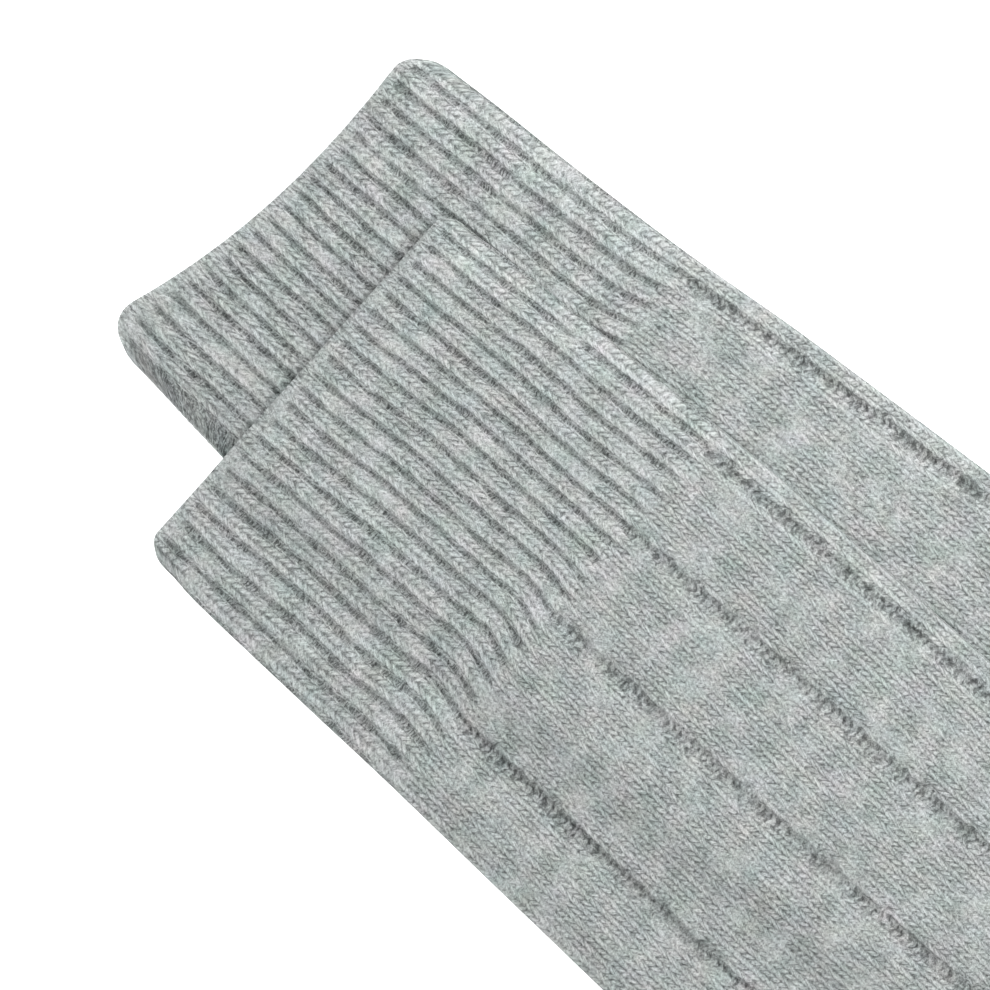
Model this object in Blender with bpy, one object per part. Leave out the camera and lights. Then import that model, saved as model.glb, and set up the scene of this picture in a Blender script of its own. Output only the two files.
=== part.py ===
"""A pair of ribbed knitted socks laid flat on a surface, the upper one over the under one.

Each sock is one knitted tube, flattened, so its cloth is one wall: open at the cuff, closed
at the toe, with a thin hollow between its two layers. A sock is worked out in its own frame,
where u runs across the leg from the heel fold to the instep fold, v runs up to the cuff, and
the cuff edge lies at v = 0. Stations are lengths along the instep fold, from the cuff edge
down the leg, round the ankle and along the foot. Wales are the columns of stitches, counted
from the heel fold.
"""

import math
from collections import namedtuple

import bmesh
import bpy
import numpy as np

MM = 0.001

# The cloth
WALL = 1.6 * MM  # between the ribs
RIB_RISE = 0.8 * MM  # a rib's crest over the groove beside it
DOME = 0.45 * MM  # the middle of a wide rib over its two shoulders
LAYER_GAP = 0.6 * MM  # between the two layers of a sock that lies flat
MOUTH_GAP = 1.4 * MM  # the same at the cuff edge, which stands a little open
MOUTH_DEPTH = 16 * MM
CORNER_DEPTH = 1.6  # how far down a cuff's round corner reaches, in its widths
CORNER_FADE = 4.0  # how far down the cuff the rows still bend with it, in its widths
CLEARANCE = 0.35 * MM  # between the two socks

# The ribs on one face, in wales from the heel fold
WALES = 43
CUFF_RIB_WALES = 2  # one knit column and one purl column
LEG_GROOVES = (8.5, 20.5, 30.5, 40.5)  # the leg's purl columns
HALF_WIDE_RIB = 5  # from a purl column of the leg to where a wide rib is highest
HALF_CREST = 0.5  # from a cuff rib's middle to the shoulder of its crest
CREST_ROUNDING = 0.12 * MM  # a cuff rib's middle over its shoulders
SOLE_WALES = WALES / 2  # on the foot these columns are plain

# How far the middle column lies off an even spacing, towards the instep fold, as a share of
# the width, and where along the sock this eases off
CUFF_LEAN = 0.021
LEG_LEAN = 0.004
LEAN_EASE_START = 42 * MM
LEAN_EASE_LENGTH = 42 * MM

# Lengths along the instep fold
HEM_LENGTH = 1.7 * MM  # plain knit edge above the cuff's ribs
RIM_LENGTH = 0.6 * MM
CUFF_LENGTH = 70 * MM
CUFF_TO_LEG = 4 * MM  # the cuff's ribs gather into the leg's over this length
LEG_LENGTH = 190 * MM
ANKLE_RADIUS = 30 * MM
ANKLE_TURN = math.radians(70)  # from the line of the leg to the line of the foot
FOOT_LENGTH = 135 * MM
TOE_LENGTH = 46 * MM
ANKLE_LENGTH = ANKLE_RADIUS * ANKLE_TURN
SOCK_LENGTH = LEG_LENGTH + ANKLE_LENGTH + FOOT_LENGTH

TOE_ROUNDNESS = 2.2  # exponent of the toe's outline, where 2 is an ellipse
TOE_DROP = 0.62  # share of the toe's narrowing that comes off the instep side
TOE_THINNING = 0.35  # share of the thickness that the toe loses at its tip
TOE_POCKET_END = 4.5 * MM  # from the end of the hollow to the toe tip

# How far outside the under sock the upper one starts to rise over it
RAMP_LENGTH = 18 * MM
RAMP_TOP = 1.2 * MM  # outside the under sock's outline, where it has risen all the way

# Rings along a sock, and points across its plain sides
LEG_STEPS = 5
ANKLE_STEPS = 13
FOOT_STEPS = 3
TOE_STEPS = 8
LAST_TOE_ANGLE = 84  # degrees round the toe's outline, where its last ring lies
BOTTOM_STEPS = 24
INNER_STEPS = 12

# Sections of the leg. Inset is how far the instep fold lies inside the leg's straight line.
Section = namedtuple("Section", "name station inset width")
UPPER_LEG = (
    Section("cuff edge", 0 * MM, 5.6 * MM, 91.2 * MM),
    Section("upper cuff", 9 * MM, 5.1 * MM, 92.4 * MM),
    Section("middle of cuff", 45 * MM, 2.8 * MM, 95.7 * MM),
    Section("end of cuff", 70 * MM, 1.4 * MM, 97.6 * MM),
    Section("upper leg", 105 * MM, 0.4 * MM, 99.8 * MM),
    Section("lower leg", 145 * MM, 0.0 * MM, 101.2 * MM),
    Section("above ankle", 190 * MM, 0.0 * MM, 99.8 * MM),
)
UNDER_LEG = (
    Section("cuff edge", 0 * MM, 0.5 * MM, 84.8 * MM),
    Section("upper cuff", 17 * MM, 0.5 * MM, 88.1 * MM),
    Section("middle of cuff", 40 * MM, 1.0 * MM, 91.5 * MM),
    Section("end of cuff", 64 * MM, 1.2 * MM, 94.4 * MM),
    Section("upper leg", 100 * MM, 0.2 * MM, 97.2 * MM),
    Section("lower leg", 145 * MM, 0.0 * MM, 99.0 * MM),
    Section("above ankle", 190 * MM, 0.0 * MM, 99.0 * MM),
)

# Sections round the ankle, by their turn from the leg's last section
Turned = namedtuple("Turned", "name degrees width")
HEEL = (
    Turned("top of heel", 12, 103.5 * MM),
    Turned("back of heel", 23, 112 * MM),
    Turned("point of heel", 33, 116 * MM),
    Turned("bottom of heel", 43, 108 * MM),
    Turned("end of heel", 55, 95.5 * MM),
    Turned("start of foot", 70, 89.5 * MM),
)

# Sections of the foot, by their distance from the ankle's last section
Foot = namedtuple("Foot", "name distance width")
FOOT = (
    Foot("arch", 35 * MM, 87.5 * MM),
    Foot("ball of foot", 89 * MM, 87 * MM),
    Foot("toe tip", 135 * MM, 87 * MM),
)

# A sock's place: x and y are the middle of its cuff edge, and degrees is how far it is turned.
# Front is how far the leg's straight instep line lies from that middle. Slant lifts the cuff
# edge at the heel fold, falling away to nothing at the instep fold. The corners are the widths
# of the cuff's round corners at the two folds. First knit is the wale in the middle of the
# cuff's first whole knit column.
Sock = namedtuple(
    "Sock",
    "name x y degrees leg front slant slant_power heel_corner instep_corner first_knit colour",
)
UPPER = Sock(
    name="upper_sock",
    x=-9.5 * MM,
    y=45.0 * MM,
    degrees=0.0,
    leg=UPPER_LEG,
    front=51.0 * MM,
    slant=0.0 * MM,
    slant_power=2.0,
    heel_corner=4.5 * MM,
    instep_corner=3.5 * MM,
    first_knit=1.5,
    colour=(0.381, 0.413, 0.402, 1.0),
)
UNDER = Sock(
    name="under_sock",
    x=13.0 * MM,
    y=68.9 * MM,
    degrees=5.0,
    leg=UNDER_LEG,
    front=44.3 * MM,
    slant=18.3 * MM,
    slant_power=2.4,
    heel_corner=9.5 * MM,
    instep_corner=6.5 * MM,
    first_knit=3.0,
    colour=(0.375, 0.409, 0.400, 1.0),
)


def clear_scene():
    for obj in list(bpy.data.objects):
        bpy.data.objects.remove(obj, do_unlink=True)


def smoothstep(value):
    value = np.clip(value, 0.0, 1.0)
    return value * value * (3.0 - 2.0 * value)


def slope_between(before, after):
    """The slope at a row, from those of the spans beside it. It is level at a high or low
    point, so that a curve through the rows never swings past them."""
    return 2.0 * before * after / (before + after) if before * after > 0.0 else 0.0


def smooth_curve(stations, values, at):
    """A smooth curve through the values, read at one station."""
    spans = np.diff(stations)
    slants = np.diff(values) / spans
    slopes = [slants[0]] + [slope_between(a, b) for a, b in zip(slants, slants[1:])] + [slants[-1]]
    index = int(np.clip(np.searchsorted(stations, at) - 1, 0, len(spans) - 1))
    t = (at - stations[index]) / spans[index]
    ease = smoothstep(t)
    start_bend = t * (1.0 - t) ** 2 * spans[index] * slopes[index]
    end_bend = t * t * (t - 1.0) * spans[index] * slopes[index + 1]
    return (1.0 - ease) * values[index] + ease * values[index + 1] + start_bend + end_bend


def sections_of(sock):
    """(station, inset, width) of every section from the cuff edge to the toe tip."""
    rows = [(s.station, s.inset, s.width) for s in sock.leg]
    rows += [(LEG_LENGTH + ANKLE_RADIUS * math.radians(s.degrees), 0.0, s.width) for s in HEEL]
    rows += [(LEG_LENGTH + ANKLE_LENGTH + s.distance, 0.0, s.width) for s in FOOT]
    return rows


def toe_share(station):
    """How much of the foot's width is left at a station: 1 before the toe, 0 at its tip."""
    reach = (station - (SOCK_LENGTH - TOE_LENGTH)) / TOE_LENGTH
    return (1.0 - max(reach, 0.0) ** TOE_ROUNDNESS) ** (1.0 / TOE_ROUNDNESS)


def section_at(sock, station):
    """The instep fold's point, the direction from it to the heel fold, and the width."""
    rows = np.array(sections_of(sock))
    inset = smooth_curve(rows[:, 0], rows[:, 1], station)
    full_width = smooth_curve(rows[:, 0], rows[:, 2], station)
    turn = min(max((station - LEG_LENGTH) / ANKLE_RADIUS, 0.0), ANKLE_TURN)
    beyond = max(station - LEG_LENGTH - ANKLE_LENGTH, 0.0)
    centre = np.array([sock.front + ANKLE_RADIUS, -LEG_LENGTH])
    to_heel = np.array([-math.cos(turn), -math.sin(turn)])
    along = np.array([math.sin(turn), -math.cos(turn)])
    above = min(station, LEG_LENGTH) - LEG_LENGTH
    point = centre + to_heel * ANKLE_RADIUS + along * (above + beyond)
    width = full_width * toe_share(station)
    inset += (full_width - width) * TOE_DROP
    return point + to_heel * inset, to_heel, width


def flat_tube_point(share, width, height):
    """A point round a flattened tube, and the outward direction there. Share runs from 0 at
    the heel fold over the top to 1 at the instep fold, and on under the tube to 2."""
    radius = height / 2
    quarter = math.pi * radius / 2
    half_girth = width - height + 2 * quarter
    over = share <= 1.0
    reach = (share if over else 2.0 - share) * half_girth
    side = 1.0
    if reach > half_girth / 2:
        reach = half_girth - reach
        side = -1.0
    if reach < quarter:
        angle = reach / radius
        across = radius * (1.0 - math.cos(angle))
        rise = radius * math.sin(angle)
        outward = (-math.cos(angle), math.sin(angle))
    else:
        across = radius + reach - quarter
        rise = radius
        outward = (0.0, 1.0)
    if side < 0:
        across = width - across
    up = 1.0 if over else -1.0
    return across, radius + up * rise, side * outward[0], up * outward[1]


def top_wales():
    """Where the outer points lie over the top: on each column's middle and on its edges."""
    return [half / 2 for half in range(2 * WALES)]


def share_at(wale, station):
    """The share round the tube where a wale of the top face lies."""
    eased = smoothstep((station - LEAN_EASE_START) / LEAN_EASE_LENGTH)
    lean = CUFF_LEAN + (LEG_LEAN - CUFF_LEAN) * eased
    return wale / WALES + lean * math.sin(math.pi * wale / WALES)


def outer_shares(sock, station):
    """Shares round the outer surface: the ribbed top, then the plain underside."""
    width, height = outer_size(sock, station)
    quarter = math.pi * height / 4 / (width - height + math.pi * height / 2)
    top = [share_at(wale, station) for wale in top_wales()]
    across = np.linspace(1.0 + quarter, 2.0 - quarter, BOTTOM_STEPS)
    return top + [1.0, 1.0 + quarter / 2] + list(across) + [2.0 - quarter / 2]


def inner_shares():
    """Shares round the hollow, which is plain."""
    return list(np.arange(2 * INNER_STEPS) / INNER_STEPS)


def from_crest(sock, wale):
    """Wales to the middle of the nearest knit column of the cuff: 1 on a purl column."""
    return abs((wale - sock.first_knit + 1.0) % CUFF_RIB_WALES - 1.0)


def from_leg_groove(wale):
    return min(abs(wale - groove) for groove in LEG_GROOVES)


def rib_rise(sock, wale, station):
    """How far the outer surface stands over the plain wall, at a wale of the top face."""
    fold_fade = smoothstep(min(wale, WALES - wale) / 1.0)
    in_cuff = smoothstep((CUFF_LENGTH + CUFF_TO_LEG - station) / CUFF_TO_LEG)
    below_hem = smoothstep((station - HEM_LENGTH) / HEM_LENGTH)
    in_leg = smoothstep((station - CUFF_LENGTH) / CUFF_TO_LEG)
    in_toe = smoothstep((station - (SOCK_LENGTH - TOE_LENGTH)) / (TOE_LENGTH / 3))
    in_foot = smoothstep((station - LEG_LENGTH) / ANKLE_RADIUS)
    plain_sole = in_foot if wale < SOLE_WALES else 0.0
    leg_ribs = in_leg * (1.0 - in_toe) * (1.0 - plain_sole)
    groove = max(
        in_cuff * below_hem if from_crest(sock, wale) == 1.0 else 0.0,
        leg_ribs if from_leg_groove(wale) == 0.0 else 0.0,
    )
    off_crown = max(1.0 - from_leg_groove(wale) / HALF_WIDE_RIB, 0.0)
    leg_shoulder = DOME * off_crown**2 * leg_ribs
    off_crest = from_crest(sock, wale) / HALF_CREST
    cuff_shoulder = CREST_ROUNDING * off_crest**2 * in_cuff * below_hem
    rim = smoothstep(station / RIM_LENGTH)
    return fold_fade * rim * (RIB_RISE - leg_shoulder - cuff_shoulder) * (1.0 - groove)


def mouth_gap(station):
    return LAYER_GAP + (MOUTH_GAP - LAYER_GAP) * (1.0 - smoothstep(station / MOUTH_DEPTH))


def corner_drop(corner, from_fold, station):
    """How far a round corner of the cuff lies below the line of its edge."""
    short = 1.0 - min(max(from_fold / corner, 0.0), 1.0)
    drop = CORNER_DEPTH * corner * (1.0 - math.sqrt(1.0 - short**2))
    return drop * (1.0 - smoothstep(station / (CORNER_FADE * corner)))


def place(sock, section, station, across):
    """Plan position in the sock's own frame, with the cuff edge slanted and its corners round."""
    point, to_heel, width = section
    u, v = point + to_heel * (width - across)
    cuff_share = max(1.0 - station / CUFF_LENGTH, 0.0)
    from_instep = max(1.0 - across / width, 0.0)
    v += sock.slant * from_instep**sock.slant_power * cuff_share**2
    v -= corner_drop(sock.heel_corner, across, station)
    v -= corner_drop(sock.instep_corner, width - across, station)
    return u, v


def to_world(sock, points):
    """Own-frame plan points, turned and moved to the sock's place on the surface."""
    angle = math.radians(sock.degrees)
    turn = np.array([[math.cos(angle), math.sin(angle)], [-math.sin(angle), math.cos(angle)]])
    return np.asarray(points) @ turn + np.array([sock.x, sock.y])


def outer_stations():
    cuff = [0.0, RIM_LENGTH, HEM_LENGTH, 2 * HEM_LENGTH, 18 * MM, 44 * MM, CUFF_LENGTH]
    leg = list(np.linspace(CUFF_LENGTH + CUFF_TO_LEG, LEG_LENGTH, LEG_STEPS + 1))
    ankle = list(LEG_LENGTH + ANKLE_LENGTH * np.linspace(0.0, 1.0, ANKLE_STEPS + 1)[1:])
    foot_end = SOCK_LENGTH - TOE_LENGTH
    foot = list(np.linspace(LEG_LENGTH + ANKLE_LENGTH, foot_end, FOOT_STEPS + 1)[1:])
    toe_angles = np.radians(np.linspace(0.0, LAST_TOE_ANGLE, TOE_STEPS + 1)[1:])
    toe = list(foot_end + TOE_LENGTH * np.sin(toe_angles))
    return cuff + leg + ankle + foot + toe


def inner_stations():
    stations = [s for s in outer_stations() if s == 0.0 or s > 2 * HEM_LENGTH]
    end = SOCK_LENGTH - TOE_POCKET_END
    return [s for s in stations if s < end - TOE_POCKET_END] + [end]


def outline_of(sock):
    """The flat sock's outline on the surface, as world points round it."""
    heel_side = []
    instep_side = []
    for station in outer_stations():
        section = section_at(sock, station)
        heel_side.append(place(sock, section, station, 0.0))
        instep_side.append(place(sock, section, station, section[-1]))
    return to_world(sock, heel_side + instep_side[::-1])


def depth_inside(outline, point):
    """How far a point lies inside an outline, and below 0 how far outside."""
    starts = outline
    ends = np.roll(outline, -1, axis=0)
    edges = ends - starts
    shares = ((point - starts) * edges).sum(axis=1) / (edges**2).sum(axis=1)
    nearest = starts + np.clip(shares, 0.0, 1.0)[:, None] * edges
    distance = np.hypot(*(point - nearest).T).min()
    spans = (starts[:, 1] > point[1]) != (ends[:, 1] > point[1])
    rise = (point[1] - starts[spans, 1]) / (ends[spans, 1] - starts[spans, 1])
    crossings = (starts[spans, 0] + rise * edges[spans, 0] > point[0]).sum()
    return distance if crossings % 2 else -distance


def lift_over(outline, point):
    """How high the upper sock is carried at a point, by the under sock."""
    full = 2 * WALL + LAYER_GAP + RIB_RISE + CLEARANCE
    reach = depth_inside(outline, point) + RAMP_TOP
    return full * smoothstep((reach + RAMP_LENGTH) / RAMP_LENGTH)


def thinning(station):
    return 1.0 - TOE_THINNING * (1.0 - toe_share(station))


def outer_size(sock, station):
    """(width, height) of the outer surface, its ribs left out."""
    width = section_at(sock, station)[-1]
    return width, (2 * WALL + mouth_gap(station)) * thinning(station)


def inner_size(sock, station):
    width = section_at(sock, station)[-1]
    return width - 2 * WALL, mouth_gap(station) * thinning(station)


def ring_points(sock, station, carrier, inner):
    """One ring of own-frame points round the outer surface, or round the hollow."""
    section = section_at(sock, station)
    width, height = inner_size(sock, station) if inner else outer_size(sock, station)
    shares = inner_shares() if inner else outer_shares(sock, station)
    ribbed = [] if inner else top_wales()
    points = []
    for index, share in enumerate(shares):
        across, z, out_across, out_z = flat_tube_point(share, width, height)
        if inner:
            across += WALL
            z += WALL * thinning(station)
        if index < len(ribbed):
            rise = rib_rise(sock, ribbed[index], station)
            across += out_across * rise
            z += out_z * rise
        u, v = place(sock, section, station, across)
        if carrier is not None:
            z += lift_over(carrier, to_world(sock, [u, v]))
        points.append((u, v, z))
    return points


def add_rings(bm, rings):
    return [[bm.verts.new(point) for point in ring] for ring in rings]


def add_strip(bm, first, second):
    """Quads between two rings of as many points."""
    count = len(first)
    for i in range(count):
        j = (i + 1) % count
        bm.faces.new((first[i], first[j], second[j], second[i]))


def add_zip(bm, first, first_places, second, second_places):
    """Triangles between two rows of unlike numbers of points, each joined to what lies
    nearest on the other row."""
    i = j = 0
    while i < len(first) - 1 or j < len(second) - 1:
        at_end = j == len(second) - 1
        if at_end or (i < len(first) - 1 and first_places[i + 1] <= second_places[j + 1]):
            corners = (first[i], first[i + 1], second[j])
            i += 1
        else:
            corners = (first[i], second[j + 1], second[j])
            j += 1
        if len(set(corners)) == 3:
            bm.faces.new(corners)


def add_rim(bm, outer, outer_places, inner, inner_places):
    """The cuff's edge, from the outer surface to the hollow."""
    outer_row = outer + outer[:1]
    inner_row = inner + inner[:1]
    add_zip(bm, outer_row, outer_places + [2.0], inner_row, inner_places + [2.0])


def add_toe_seam(bm, ring, places):
    """Closes a flat ring by joining its upper points to its lower ones."""
    turn = places.index(1.0)
    lower = [ring[0]] + ring[:turn - 1:-1]
    lower_places = [0.0] + [2.0 - place for place in places[:turn - 1:-1]]
    add_zip(bm, ring[:turn + 1], places[:turn + 1], lower, lower_places)


def knit_material(sock):
    material = bpy.data.materials.new(sock.name + "_wool")
    material.use_nodes = True
    shader = material.node_tree.nodes["Principled BSDF"]
    shader.inputs["Base Color"].default_value = sock.colour
    shader.inputs["Roughness"].default_value = 0.9
    shader.inputs["Metallic"].default_value = 0.0
    material.diffuse_color = sock.colour
    return material


def make_sock(sock, collection, carrier=None):
    bm = bmesh.new()
    outer = add_rings(bm, [ring_points(sock, s, carrier, False) for s in outer_stations()])
    inner = add_rings(bm, [ring_points(sock, s, carrier, True) for s in inner_stations()])
    for rings in (outer, inner):
        for first, second in zip(rings, rings[1:]):
            add_strip(bm, first, second)
    add_rim(bm, outer[0], outer_shares(sock, 0.0), inner[0], inner_shares())
    add_toe_seam(bm, outer[-1], outer_shares(sock, outer_stations()[-1]))
    add_toe_seam(bm, inner[-1], inner_shares())
    bmesh.ops.recalc_face_normals(bm, faces=bm.faces)
    mesh = bpy.data.meshes.new(sock.name)
    bm.to_mesh(mesh)
    bm.free()
    mesh.shade_smooth()
    mesh.set_sharp_from_angle(angle=math.radians(50))
    mesh.materials.append(knit_material(sock))
    obj = bpy.data.objects.new(sock.name, mesh)
    obj.location = (sock.x, sock.y, 0.0)
    obj.rotation_euler[2] = math.radians(sock.degrees)
    collection.objects.link(obj)
    return obj


def centre_on_origin(socks):
    """Moves the pair so that the middle of its underside lies at the origin."""
    bpy.context.view_layer.update()
    corners = np.array([sock.matrix_world @ vert.co for sock in socks for vert in sock.data.vertices])
    middle = (corners.min(axis=0) + corners.max(axis=0)) / 2
    for sock in socks:
        sock.location.x -= middle[0]
        sock.location.y -= middle[1]


def main():
    clear_scene()
    collection = bpy.data.collections.new("ribbed_socks")
    bpy.context.scene.collection.children.link(collection)
    under = make_sock(UNDER, collection)
    upper = make_sock(UPPER, collection, carrier=outline_of(UNDER))
    centre_on_origin([under, upper])


main()
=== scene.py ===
# Pair of ribbed wool socks, laid flat and seen from straight above.
# Each sock is a knitted tube in three stretches: cuff, leg and foot. A smooth tube is worked out
# first, and Geometry Nodes then raise its ribs and its stitches. A wale is a column of stitches
# and a course is a row of them.
import math

import bpy
import numpy as np
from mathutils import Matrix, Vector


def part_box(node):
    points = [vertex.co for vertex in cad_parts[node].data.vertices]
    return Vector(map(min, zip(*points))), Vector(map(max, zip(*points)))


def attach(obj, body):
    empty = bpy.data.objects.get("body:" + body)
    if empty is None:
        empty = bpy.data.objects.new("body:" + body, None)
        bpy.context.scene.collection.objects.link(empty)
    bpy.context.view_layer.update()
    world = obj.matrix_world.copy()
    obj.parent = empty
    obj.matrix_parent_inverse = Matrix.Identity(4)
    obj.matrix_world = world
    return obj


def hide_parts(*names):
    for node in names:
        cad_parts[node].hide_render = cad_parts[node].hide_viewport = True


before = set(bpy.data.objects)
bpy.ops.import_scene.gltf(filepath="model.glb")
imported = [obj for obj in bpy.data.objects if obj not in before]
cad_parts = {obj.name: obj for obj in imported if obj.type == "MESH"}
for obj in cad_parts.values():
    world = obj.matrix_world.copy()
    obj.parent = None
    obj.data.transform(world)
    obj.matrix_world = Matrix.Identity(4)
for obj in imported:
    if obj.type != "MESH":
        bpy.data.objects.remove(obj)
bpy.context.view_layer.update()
mm = 0.001

# Widths and lengths that both socks share
sockForm = {
    "wall": 1.6 * mm,
    "layerGap": 0.6 * mm,
    "mouthGap": 1.4 * mm,
    "mouthDepth": 16 * mm,
    "cornerDepth": 1.6,  # how far down a cuff's round corner reaches, in its widths
    "cornerFade": 4.0,  # how far down the cloth is bent by it, in its widths
    "mostHeight": 0.6,  # a tube is never higher than this share of its width
    "leastHollow": 1.5,  # nor its hollow narrower than this many of its heights
    "ribRise": 0.8 * mm,
    "edgePress": 0.72,  # share of its height that a sock loses at its two folds
    "edgeReach": 9 * mm,
    "hemReach": 3 * mm,  # the cuff edge is pressed as much as the cloth this far from a fold
    "clearance": 0.15 * mm,
    "cuffLength": 70 * mm,
    "legLength": 190 * mm,
    "ankleRadius": 30 * mm,
    "ankleTurn": math.radians(70),
    "footLength": 135 * mm,
    "toeLength": 46 * mm,
    "toeRoundness": 2.2,
    "toeDrop": 0.62,
    "toeThinning": 0.35,
    "toePocketEnd": 4.5 * mm,
    "lastToeAngle": math.radians(86.5),
    "toePocketGap": 3 * mm,
    "rampLength": 13 * mm,
    "rampTop": -7 * mm,  # the ramp ends this far inside the under sock's outline
    # turn from the leg's line in degrees, width
    "heel": [
        (12, 103.5 * mm),
        (23, 112 * mm),
        (33, 116 * mm),
        (43, 108 * mm),
        (55, 95.5 * mm),
        (70, 89.5 * mm),
    ],
    # distance past the ankle, width
    "foot": [(35 * mm, 87.5 * mm), (89 * mm, 87 * mm), (135 * mm, 87 * mm)],
}
sockForm["ankleLength"] = sockForm["ankleRadius"] * sockForm["ankleTurn"]
sockForm["sockLength"] = sockForm["legLength"] + sockForm["ankleLength"] + sockForm["footLength"]

upperSock = {
    "name": "upper",
    "solid": "upper_sock",
    "place": (-9.5 * mm, 45.4 * mm),
    "turn": 0.0,
    "front": 51.0 * mm,
    "slant": 0.0,
    "slantPower": 2.0,
    "heelCorner": 4.5 * mm,
    "instepCorner": 3.5 * mm,
    "firstKnit": 1.5,  # wales from the heel fold to the cuff's first whole knit column
    "foldPurl": 0.0,  # wales beside the cuff's heel fold that are purl
    # station, then how far the middle columns lie off an even spacing towards the instep, and how
    # far those of the heel's half do so more than those of the instep's, as shares of the width
    "lean": [
        (0 * mm, 0.0165, 0.0057),
        (35 * mm, 0.0280, 0.0093),
        (60 * mm, 0.0265, 0.0155),
        (73 * mm, 0.004, 0.0),
        (190 * mm, 0.004, 0.0),
    ],
    "legGrooves": (8.6, 20.5, 30.5, 40.2),  # wales from the heel fold to the leg's purl columns
    # station down the leg, inset of the instep fold, width
    "leg": [
        (0 * mm, 5.6 * mm, 91.2 * mm),
        (9 * mm, 5.1 * mm, 92.4 * mm),
        (45 * mm, 2.8 * mm, 95.7 * mm),
        (70 * mm, 1.4 * mm, 97.6 * mm),
        (105 * mm, 0.4 * mm, 99.8 * mm),
        (145 * mm, 0.0 * mm, 101.2 * mm),
        (190 * mm, 0.0 * mm, 99.8 * mm),
    ],
    "seed": 3.0,
}
underSock = {
    "name": "under",
    "solid": "under_sock",
    "place": (13.0 * mm, 69.2 * mm),
    "turn": math.radians(5.0),
    "front": 44.3 * mm,
    "slant": 18.3 * mm,
    "slantPower": 2.4,
    "heelCorner": 10.0 * mm,
    "instepCorner": 6.5 * mm,
    "firstKnit": 3.5,
    "foldPurl": 2.4,
    "lean": [
        (0 * mm, -0.0141, 0.010),
        (60 * mm, -0.0141, 0.010),
        (73 * mm, 0.004, 0.0),
        (190 * mm, 0.004, 0.0),
    ],
    "legGrooves": (8.5, 20.5, 28.0, 40.5),
    "leg": [
        (0 * mm, 0.5 * mm, 85.3 * mm),
        (17 * mm, 0.5 * mm, 88.8 * mm),
        (40 * mm, 1.0 * mm, 91.9 * mm),
        (64 * mm, 1.2 * mm, 94.4 * mm),
        (100 * mm, 0.2 * mm, 97.2 * mm),
        (145 * mm, 0.0 * mm, 99.0 * mm),
        (190 * mm, 0.0 * mm, 99.0 * mm),
    ],
    "seed": 11.0,
}

# Counts of the knit, and how finely each stretch is cut up
knitCount = {
    "wales": 43,
    "course": 1.75 * mm,
    "pointsPerWale": 6,
    "foldSteps": 6,  # steps of a quarter of a wale, under the tube beside each fold
    "foldStep": 0.25,
    "underStep": 0.5,
    # stretch, where it ends, points for each course
    "stretches": [("cuff", sockForm["cuffLength"], 4), ("leg", sockForm["legLength"], 4), ("foot", None, 3)],
    "toeSteps": 0.7,  # share of its points that the round toe keeps
    "innerSteps": 12,
    "innerCourses": 3,
    "topFade": 1.2,  # wales beside a fold over which the relief fades away
    "outlineNear": (20 * mm, 9),  # stations along an outline's cuff corners, then along the rest
    "outlineRest": (24 * mm, 150),
}


def smoothstep(value):
    value = np.clip(value, 0.0, 1.0)
    return value * value * (3.0 - 2.0 * value)


def smoothCurve(rows, column, at):
    # a smooth curve through one column of the rows, which never swings past them
    stations = np.array([row[0] for row in rows])
    values = np.array([row[column] for row in rows])
    spans = np.diff(stations)
    slants = np.diff(values) / spans
    product = slants[:-1] * slants[1:]
    total = np.where(product > 0, slants[:-1] + slants[1:], 1.0)
    slopes = np.concatenate([slants[:1], np.where(product > 0, 2 * product / total, 0.0), slants[-1:]])
    index = np.clip(np.searchsorted(stations, at) - 1, 0, len(spans) - 1)
    t = (at - stations[index]) / spans[index]
    ease = smoothstep(t)
    startBend = t * (1 - t) ** 2 * spans[index] * slopes[index]
    endBend = t * t * (t - 1) * spans[index] * slopes[index + 1]
    return (1 - ease) * values[index] + ease * values[index + 1] + startBend + endBend


def toeShare(station):
    reach = (station - (sockForm["sockLength"] - sockForm["toeLength"])) / sockForm["toeLength"]
    roundness = sockForm["toeRoundness"]
    return (1 - np.clip(reach, 0, 1) ** roundness) ** (1 / roundness)


def sectionsOf(sock):
    # station, inset of the instep fold and width, from the cuff to the toe
    form = sockForm
    rows = list(sock["leg"])
    for turn, width in form["heel"]:
        rows.append((form["legLength"] + form["ankleRadius"] * math.radians(turn), 0.0, width))
    for gone, width in form["foot"]:
        rows.append((form["legLength"] + form["ankleLength"] + gone, 0.0, width))
    return rows


def sectionAt(sock, station):
    # the instep fold's point, the way from it to the heel fold, and the width, at each station
    form = sockForm
    rows = sectionsOf(sock)
    inset = smoothCurve(rows, 1, station)
    fullWidth = smoothCurve(rows, 2, station)
    turn = np.clip((station - form["legLength"]) / form["ankleRadius"], 0, form["ankleTurn"])
    beyond = np.maximum(station - form["legLength"] - form["ankleLength"], 0)
    above = np.minimum(station, form["legLength"]) - form["legLength"]
    toHeel = np.stack([-np.cos(turn), -np.sin(turn)], axis=-1)
    along = np.stack([np.sin(turn), -np.cos(turn)], axis=-1)
    centre = np.array([sock["front"] + form["ankleRadius"], -form["legLength"]])
    point = centre + toHeel * form["ankleRadius"] + along * (above + beyond)[..., None]
    width = fullWidth * toeShare(station)
    inset = inset + (fullWidth - width) * form["toeDrop"]
    return point + toHeel * inset[..., None], toHeel, width


def mouthGap(station):
    # the hollow between the two layers, widest at the cuff edge
    form = sockForm
    nearEdge = 1 - smoothstep(station / form["mouthDepth"])
    return form["layerGap"] + (form["mouthGap"] - form["layerGap"]) * nearEdge


def thinning(station):
    return 1 - sockForm["toeThinning"] * (1 - toeShare(station))


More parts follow.
